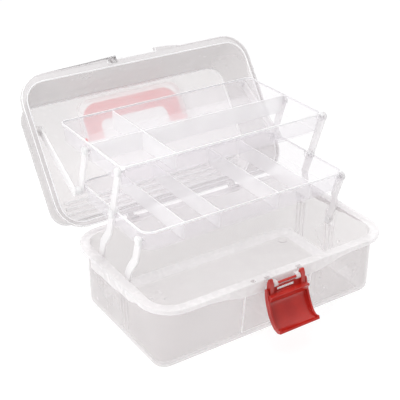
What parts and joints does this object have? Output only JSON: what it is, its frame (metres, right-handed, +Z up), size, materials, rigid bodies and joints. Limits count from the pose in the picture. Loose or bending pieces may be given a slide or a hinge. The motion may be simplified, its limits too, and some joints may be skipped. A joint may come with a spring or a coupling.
{
  "type": "art supply box",
  "caption": "Clear plastic art supply box whose hinged lid lifts stacked trays on parallel arms, with a folding handle on the lid and a flip-up front latch.",
  "frame": {"origin": "centre of the base's flat underside", "axes": "+Z up, -Y is the front with the latch, +X along the box to the right, lid open and trays raised"},
  "size_m": [0.33, 0.3866, 0.2497],
  "materials": {
    "clear_polypropylene": "milky clear, smooth with a light haze",
    "clear_tray_plastic": "milky clear, smooth",
    "natural_polypropylene": "natural translucent, satin",
    "red_latch_plastic": "semi-gloss orange-red",
    "red_handle_plastic": "semi-gloss red"
  },
  "bodies": {
    "base": {"base_tub": "clear_polypropylene", "base_rivet_rear_left": "natural_polypropylene", "base_rivet_rear_right": "natural_polypropylene", "base_rivet_front_left": "natural_polypropylene", "base_rivet_front_right": "natural_polypropylene", "hinge_pin_left": "natural_polypropylene", "hinge_pin_right": "natural_polypropylene"},
    "lid": {"lid_shell": "clear_polypropylene", "lid_rivet_left": "natural_polypropylene", "lid_rivet_right": "natural_polypropylene"},
    "long_arm_left": {"long_arm_left": "natural_polypropylene"},
    "long_arm_right": {"long_arm_right": "natural_polypropylene"},
    "front_arm_left": {"front_arm_left": "natural_polypropylene"},
    "front_arm_right": {"front_arm_right": "natural_polypropylene"},
    "lower_tray": {"lower_tray": "clear_tray_plastic", "lower_tray_rivet_front_left": "natural_polypropylene", "lower_tray_rivet_front_right": "natural_polypropylene", "lower_tray_rivet_mid_left": "natural_polypropylene", "lower_tray_rivet_mid_right": "natural_polypropylene", "lower_tray_rivet_rear_left": "natural_polypropylene", "lower_tray_rivet_rear_right": "natural_polypropylene"},
    "upper_tray": {"upper_tray": "clear_tray_plastic", "upper_tray_rivet_front_left": "natural_polypropylene", "upper_tray_rivet_front_right": "natural_polypropylene", "upper_tray_rivet_rear_left": "natural_polypropylene", "upper_tray_rivet_rear_right": "natural_polypropylene"},
    "rear_arm_left": {"rear_arm_left": "natural_polypropylene"},
    "rear_arm_right": {"rear_arm_right": "natural_polypropylene"},
    "lid_link_left": {"lid_link_left": "natural_polypropylene"},
    "lid_link_right": {"lid_link_right": "natural_polypropylene"},
    "latch": {"latch": "red_latch_plastic"},
    "handle": {"handle": "red_handle_plastic"}
  },
  "joints": [
    {"name": "lid_hinge", "type": "hinge", "parent": "base", "child": "lid", "pos_m": [0, 0.1, 0.082], "axis": [1, 0, 0], "range_deg": [0, 124.4]},
    {"name": "long_arm_left_pivot", "type": "hinge", "parent": "base", "child": "long_arm_left", "pos_m": [-0.1452, 0.05268, 0.07075], "axis": [1, 0, 0], "range_deg": [0, 46.9]},
    {"name": "front_arm_left_pivot", "type": "hinge", "parent": "base", "child": "front_arm_left", "pos_m": [-0.1452, -0.00542, 0.06385], "axis": [1, 0, 0], "range_deg": [0, 46.9]},
    {"name": "long_arm_right_pivot", "type": "hinge", "parent": "base", "child": "long_arm_right", "pos_m": [0.1452, 0.05268, 0.07075], "axis": [1, 0, 0], "range_deg": [0, 46.9]},
    {"name": "front_arm_right_pivot", "type": "hinge", "parent": "base", "child": "front_arm_right", "pos_m": [0.1452, -0.00542, 0.06385], "axis": [1, 0, 0], "range_deg": [0, 46.9]},
    {"name": "lower_tray_pivot", "type": "hinge", "parent": "long_arm_left", "child": "lower_tray", "pos_m": [-0.1395, 0.0296, 0.1419], "axis": [1, 0, 0], "range_deg": [-46.9, 0]},
    {"name": "upper_tray_pivot", "type": "hinge", "parent": "long_arm_left", "child": "upper_tray", "pos_m": [-0.1395, 0.01115, 0.19878], "axis": [1, 0, 0], "range_deg": [-46.9, 0]},
    {"name": "rear_arm_left_pivot", "type": "hinge", "parent": "lower_tray", "child": "rear_arm_left", "pos_m": [-0.1395, 0.1061, 0.1369], "axis": [1, 0, 0], "range_deg": [0, 46.9]},
    {"name": "lid_link_left_pivot", "type": "hinge", "parent": "lid", "child": "lid_link_left", "pos_m": [-0.1483, 0.18996, 0.18329], "axis": [1, 0, 0], "range_deg": [0, 25.9]},
    {"name": "rear_arm_right_pivot", "type": "hinge", "parent": "lower_tray", "child": "rear_arm_right", "pos_m": [0.1395, 0.1061, 0.1369], "axis": [1, 0, 0], "range_deg": [0, 46.9]},
    {"name": "lid_link_right_pivot", "type": "hinge", "parent": "lid", "child": "lid_link_right", "pos_m": [0.1483, 0.18996, 0.18329], "axis": [1, 0, 0], "range_deg": [0, 25.9]},
    {"name": "latch_pivot", "type": "hinge", "parent": "base", "child": "latch", "pos_m": [0, -0.105, 0.0785], "axis": [-1, 0, 0], "range_deg": [0, 168]},
    {"name": "handle_pivot", "type": "hinge", "parent": "lid", "child": "handle", "pos_m": [0, 0.21686, 0.14257], "axis": [-1, 0, 0], "range_deg": [0, 95]}
  ],
  "couplings": [
    {"joint": "long_arm_left_pivot", "follows": "lid_hinge", "ratio": 0.37637},
    {"joint": "front_arm_left_pivot", "follows": "lid_hinge", "ratio": 0.37637},
    {"joint": "long_arm_right_pivot", "follows": "lid_hinge", "ratio": 0.37637},
    {"joint": "front_arm_right_pivot", "follows": "lid_hinge", "ratio": 0.37637},
    {"joint": "lower_tray_pivot", "follows": "lid_hinge", "ratio": -0.37637},
    {"joint": "upper_tray_pivot", "follows": "lid_hinge", "ratio": -0.37637},
    {"joint": "rear_arm_left_pivot", "follows": "lid_hinge", "ratio": 0.37637},
    {"joint": "lid_link_left_pivot", "follows": "lid_hinge", "ratio": 0.20753},
    {"joint": "rear_arm_right_pivot", "follows": "lid_hinge", "ratio": 0.37637},
    {"joint": "lid_link_right_pivot", "follows": "lid_hinge", "ratio": 0.20753}
  ]
}
